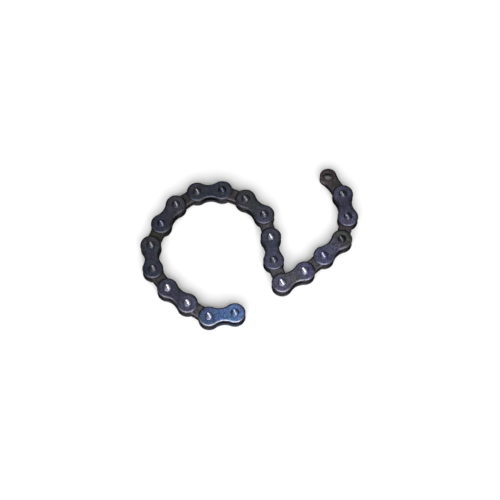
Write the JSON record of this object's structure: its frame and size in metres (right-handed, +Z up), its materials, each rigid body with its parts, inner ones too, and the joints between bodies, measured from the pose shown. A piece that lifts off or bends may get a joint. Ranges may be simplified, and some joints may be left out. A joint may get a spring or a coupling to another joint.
{
  "type": "roller chain",
  "caption": "Length of narrow steel roller chain lying flat in a loose S, with waisted outer and inner link plates, riveted pins, bushes and free-turning rollers.",
  "frame": {"origin": "on the plane the chain lies on, at the middle of its box in plan: Z = 0 is the flat lower end of every pin", "axes": "+Z up, along the pins; +X along the longer side of the loose S; +Y away from the side where the riveted outer end lies. The chain runs from the riveted outer link (lower Y) clockwise round the big loop, through the tight bend, to the open inner end (upper Y, +X side)"},
  "size_m": [0.1086, 0.0858, 0.007],
  "materials": {
    "outer_plate_steel": "dark blue-grey heat-treated steel, thin oil film, worn at the rims",
    "inner_plate_steel": "darker brown-grey heat-treated steel with oil and grime",
    "pin_steel": "bright riveted ends, oily",
    "bush_steel": "smooth ground steel, oily",
    "roller_steel": "polished by running, dark oil at the rims"
  },
  "bodies": {
    "outer_link_01": {"outer_plates_01": "outer_plate_steel", "pins_01": "pin_steel"},
    "inner_link_01": {"inner_plates_01": "inner_plate_steel", "bushes_01": "bush_steel"},
    "outer_link_02": {"outer_plates_02": "outer_plate_steel", "pins_02": "pin_steel"},
    "inner_link_02": {"inner_plates_02": "inner_plate_steel", "bushes_02": "bush_steel"},
    "outer_link_03": {"outer_plates_03": "outer_plate_steel", "pins_03": "pin_steel"},
    "inner_link_03": {"inner_plates_03": "inner_plate_steel", "bushes_03": "bush_steel"},
    "outer_link_04": {"outer_plates_04": "outer_plate_steel", "pins_04": "pin_steel"},
    "inner_link_04": {"inner_plates_04": "inner_plate_steel", "bushes_04": "bush_steel"},
    "outer_link_05": {"outer_plates_05": "outer_plate_steel", "pins_05": "pin_steel"},
    "inner_link_05": {"inner_plates_05": "inner_plate_steel", "bushes_05": "bush_steel"},
    "outer_link_06": {"outer_plates_06": "outer_plate_steel", "pins_06": "pin_steel"},
    "inner_link_06": {"inner_plates_06": "inner_plate_steel", "bushes_06": "bush_steel"},
    "outer_link_07": {"outer_plates_07": "outer_plate_steel", "pins_07": "pin_steel"},
    "inner_link_07": {"inner_plates_07": "inner_plate_steel", "bushes_07": "bush_steel"},
    "outer_link_08": {"outer_plates_08": "outer_plate_steel", "pins_08": "pin_steel"},
    "inner_link_08": {"inner_plates_08": "inner_plate_steel", "bushes_08": "bush_steel"},
    "outer_link_09": {"outer_plates_09": "outer_plate_steel", "pins_09": "pin_steel"},
    "inner_link_09": {"inner_plates_09": "inner_plate_steel", "bushes_09": "bush_steel"},
    "outer_link_10": {"outer_plates_10": "outer_plate_steel", "pins_10": "pin_steel"},
    "inner_link_10": {"inner_plates_10": "inner_plate_steel", "bushes_10": "bush_steel"},
    "roller_body_01": {"roller_01": "roller_steel"},
    "roller_body_02": {"roller_02": "roller_steel"},
    "roller_body_03": {"roller_03": "roller_steel"},
    "roller_body_04": {"roller_04": "roller_steel"},
    "roller_body_05": {"roller_05": "roller_steel"},
    "roller_body_06": {"roller_06": "roller_steel"},
    "roller_body_07": {"roller_07": "roller_steel"},
    "roller_body_08": {"roller_08": "roller_steel"},
    "roller_body_09": {"roller_09": "roller_steel"},
    "roller_body_10": {"roller_10": "roller_steel"},
    "roller_body_11": {"roller_11": "roller_steel"},
    "roller_body_12": {"roller_12": "roller_steel"},
    "roller_body_13": {"roller_13": "roller_steel"},
    "roller_body_14": {"roller_14": "roller_steel"},
    "roller_body_15": {"roller_15": "roller_steel"},
    "roller_body_16": {"roller_16": "roller_steel"},
    "roller_body_17": {"roller_17": "roller_steel"},
    "roller_body_18": {"roller_18": "roller_steel"},
    "roller_body_19": {"roller_19": "roller_steel"},
    "roller_body_20": {"roller_20": "roller_steel"}
  },
  "joints": [
    {"name": "pivot_02", "type": "hinge", "parent": "inner_link_01", "child": "outer_link_01", "pos_m": [-0.01978, -0.03771, 0.00352], "axis": [0, 0, 1], "range_deg": [-151, 69]},
    {"name": "pivot_03", "type": "hinge", "parent": "outer_link_02", "child": "inner_link_01", "pos_m": [-0.03043, -0.03079, 0.00352], "axis": [0, 0, -1], "range_deg": [-104, 116]},
    {"name": "pivot_04", "type": "hinge", "parent": "inner_link_02", "child": "outer_link_02", "pos_m": [-0.0403, -0.0228, 0.00352], "axis": [0, 0, 1], "range_deg": [-125, 95]},
    {"name": "pivot_05", "type": "hinge", "parent": "outer_link_03", "child": "inner_link_02", "pos_m": [-0.04777, -0.01252, 0.00352], "axis": [0, 0, -1], "range_deg": [-70, 140]},
    {"name": "pivot_06", "type": "hinge", "parent": "inner_link_03", "child": "outer_link_03", "pos_m": [-0.04909, 0.00011, 0.00352], "axis": [0, 0, 1], "range_deg": [-139, 21]},
    {"name": "pivot_07", "type": "hinge", "parent": "outer_link_04", "child": "inner_link_03", "pos_m": [-0.04413, 0.0118, 0.00352], "axis": [0, 0, -1], "range_deg": [-14, 121]},
    {"name": "pivot_08", "type": "hinge", "parent": "inner_link_04", "child": "outer_link_04", "pos_m": [-0.03703, 0.02233, 0.00352], "axis": [0, 0, 1], "range_deg": [-132, 13]},
    {"name": "pivot_09", "type": "hinge", "parent": "outer_link_05", "child": "inner_link_04", "pos_m": [-0.0265, 0.02943, 0.00352], "axis": [0, 0, -1], "range_deg": [-10, 140]},
    {"name": "pivot_10", "type": "hinge", "parent": "inner_link_05", "child": "outer_link_05", "pos_m": [-0.01383, 0.03032, 0.00352], "axis": [0, 0, 1], "range_deg": [-136, 14]},
    {"name": "pivot_11", "type": "hinge", "parent": "outer_link_06", "child": "inner_link_05", "pos_m": [-0.00206, 0.02556, 0.00352], "axis": [0, 0, -1], "range_deg": [-54, 131]},
    {"name": "pivot_12", "type": "hinge", "parent": "outer_link_06", "child": "inner_link_06", "pos_m": [0.00723, 0.0169, 0.00352], "axis": [0, 0, -1], "range_deg": [-107, 78]},
    {"name": "pivot_13", "type": "hinge", "parent": "inner_link_06", "child": "outer_link_07", "pos_m": [0.01052, 0.00463, 0.00352], "axis": [0, 0, 1], "range_deg": [-96, 79]},
    {"name": "pivot_14", "type": "hinge", "parent": "outer_link_07", "child": "inner_link_07", "pos_m": [0.01184, -0.008, 0.00352], "axis": [0, 0, -1], "range_deg": [-57, 113]},
    {"name": "pivot_15", "type": "hinge", "parent": "inner_link_07", "child": "outer_link_08", "pos_m": [0.01598, -0.02001, 0.00352], "axis": [0, 0, 1], "range_deg": [-155, 10]},
    {"name": "pivot_16", "type": "hinge", "parent": "outer_link_08", "child": "inner_link_08", "pos_m": [0.02709, -0.01385, 0.00352], "axis": [0, 0, -1], "range_deg": [-38, 122]},
    {"name": "pivot_17", "type": "hinge", "parent": "inner_link_08", "child": "outer_link_09", "pos_m": [0.03667, -0.00552, 0.00352], "axis": [0, 0, 1], "range_deg": [-113, 42]},
    {"name": "pivot_18", "type": "hinge", "parent": "outer_link_09", "child": "inner_link_09", "pos_m": [0.04581, 0.0033, 0.00352], "axis": [0, 0, -1], "range_deg": [-44, 141]},
    {"name": "pivot_19", "type": "hinge", "parent": "inner_link_09", "child": "outer_link_10", "pos_m": [0.04909, 0.01557, 0.00352], "axis": [0, 0, 1], "range_deg": [-135, 85]},
    {"name": "pivot_20", "type": "hinge", "parent": "outer_link_10", "child": "inner_link_10", "pos_m": [0.04689, 0.02808, 0.00352], "axis": [0, 0, -1], "range_deg": [-91, 139]},
    {"name": "roller_spin_01", "type": "hinge", "parent": "inner_link_01", "child": "roller_body_01", "pos_m": [-0.01978, -0.03771, 0.00352], "axis": [0, 0, 1], "continuous": true},
    {"name": "roller_spin_02", "type": "hinge", "parent": "inner_link_01", "child": "roller_body_02", "pos_m": [-0.03043, -0.03079, 0.00352], "axis": [0, 0, 1], "continuous": true},
    {"name": "roller_spin_03", "type": "hinge", "parent": "inner_link_02", "child": "roller_body_03", "pos_m": [-0.0403, -0.0228, 0.00352], "axis": [0, 0, 1], "continuous": true},
    {"name": "roller_spin_04", "type": "hinge", "parent": "inner_link_02", "child": "roller_body_04", "pos_m": [-0.04777, -0.01252, 0.00352], "axis": [0, 0, 1], "continuous": true},
    {"name": "roller_spin_05", "type": "hinge", "parent": "inner_link_03", "child": "roller_body_05", "pos_m": [-0.04909, 0.00011, 0.00352], "axis": [0, 0, 1], "continuous": true},
    {"name": "roller_spin_06", "type": "hinge", "parent": "inner_link_03", "child": "roller_body_06", "pos_m": [-0.04413, 0.0118, 0.00352], "axis": [0, 0, 1], "continuous": true},
    {"name": "roller_spin_07", "type": "hinge", "parent": "inner_link_04", "child": "roller_body_07", "pos_m": [-0.03703, 0.02233, 0.00352], "axis": [0, 0, 1], "continuous": true},
    {"name": "roller_spin_08", "type": "hinge", "parent": "inner_link_04", "child": "roller_body_08", "pos_m": [-0.0265, 0.02943, 0.00352], "axis": [0, 0, 1], "continuous": true},
    {"name": "roller_spin_09", "type": "hinge", "parent": "inner_link_05", "child": "roller_body_09", "pos_m": [-0.01383, 0.03032, 0.00352], "axis": [0, 0, 1], "continuous": true},
    {"name": "roller_spin_10", "type": "hinge", "parent": "inner_link_05", "child": "roller_body_10", "pos_m": [-0.00206, 0.02556, 0.00352], "axis": [0, 0, 1], "continuous": true},
    {"name": "roller_spin_11", "type": "hinge", "parent": "inner_link_06", "child": "roller_body_11", "pos_m": [0.00723, 0.0169, 0.00352], "axis": [0, 0, 1], "continuous": true},
    {"name": "roller_spin_12", "type": "hinge", "parent": "inner_link_06", "child": "roller_body_12", "pos_m": [0.01052, 0.00463, 0.00352], "axis": [0, 0, 1], "continuous": true},
    {"name": "roller_spin_13", "type": "hinge", "parent": "inner_link_07", "child": "roller_body_13", "pos_m": [0.01184, -0.008, 0.00352], "axis": [0, 0, 1], "continuous": true},
    {"name": "roller_spin_14", "type": "hinge", "parent": "inner_link_07", "child": "roller_body_14", "pos_m": [0.01598, -0.02001, 0.00352], "axis": [0, 0, 1], "continuous": true},
    {"name": "roller_spin_15", "type": "hinge", "parent": "inner_link_08", "child": "roller_body_15", "pos_m": [0.02709, -0.01385, 0.00352], "axis": [0, 0, 1], "continuous": true},
    {"name": "roller_spin_16", "type": "hinge", "parent": "inner_link_08", "child": "roller_body_16", "pos_m": [0.03667, -0.00552, 0.00352], "axis": [0, 0, 1], "continuous": true},
    {"name": "roller_spin_17", "type": "hinge", "parent": "inner_link_09", "child": "roller_body_17", "pos_m": [0.04581, 0.0033, 0.00352], "axis": [0, 0, 1], "continuous": true},
    {"name": "roller_spin_18", "type": "hinge", "parent": "inner_link_09", "child": "roller_body_18", "pos_m": [0.04909, 0.01557, 0.00352], "axis": [0, 0, 1], "continuous": true},
    {"name": "roller_spin_19", "type": "hinge", "parent": "inner_link_10", "child": "roller_body_19", "pos_m": [0.04689, 0.02808, 0.00352], "axis": [0, 0, 1], "continuous": true},
    {"name": "roller_spin_20", "type": "hinge", "parent": "inner_link_10", "child": "roller_body_20", "pos_m": [0.03979, 0.03861, 0.00352], "axis": [0, 0, 1], "continuous": true}
  ]
}
